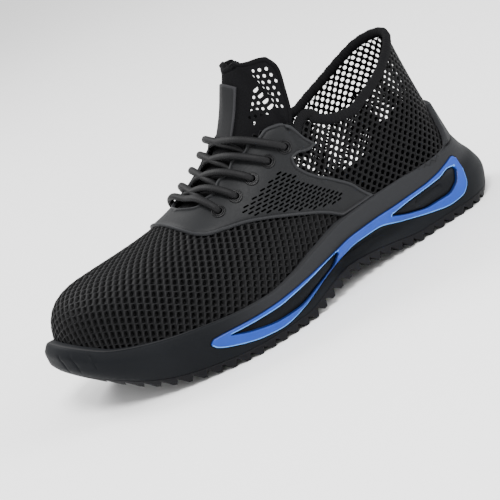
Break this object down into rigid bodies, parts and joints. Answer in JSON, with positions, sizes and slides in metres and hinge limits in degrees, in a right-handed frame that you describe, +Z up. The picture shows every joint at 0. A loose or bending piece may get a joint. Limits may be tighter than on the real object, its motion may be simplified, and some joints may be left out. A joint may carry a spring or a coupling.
{
  "type": "safety shoe",
  "caption": "Low lace-up safety trainer for the left foot: knitted mesh upper, moulded eyestay, thick sole with open side loops and a toothed outsole.",
  "frame": {"origin": "on the floor, in the middle of the shoe's bounding box", "axes": "toe towards -X, heel towards +X, outer side of the left foot towards -Y, inner side towards +Y, +Z up"},
  "size_m": [0.3038, 0.1164, 0.1477],
  "materials": {
    "outsole": "matt black moulded rubber",
    "midsole": "fine-textured dark grey moulded foam",
    "inlay": "satin blue moulded plastic with lighter rims",
    "insole": "dark textile over foam",
    "upper": "black knitted mesh",
    "eyestay": "dark grey moulded film with a raised edge",
    "tongue": "padded black mesh",
    "tongue_tab": "plain smooth grey label",
    "binding": "ribbed black edge binding",
    "eyelet": "dark moulded eyelets",
    "lace": "braided black round cord"
  },
  "bodies": {
    "root": {"outsole": "outsole", "midsole": "midsole", "inlay_lateral": "inlay", "inlay_medial": "inlay", "insole": "insole", "upper": "upper", "eyestay": "eyestay", "tongue": "tongue", "tongue_tab": "tongue_tab", "collar_binding": "binding", "eyelet_lateral_1": "eyelet", "eyelet_lateral_2": "eyelet", "eyelet_lateral_3": "eyelet", "eyelet_lateral_4": "eyelet", "eyelet_lateral_5": "eyelet", "eyelet_medial_1": "eyelet", "eyelet_medial_2": "eyelet", "eyelet_medial_3": "eyelet", "eyelet_medial_4": "eyelet", "eyelet_medial_5": "eyelet", "lace_bar_front": "lace", "lace_cross_1": "lace", "lace_cross_2": "lace", "lace_cross_3": "lace", "lace_cross_4": "lace"}
  },
  "joints": []
}
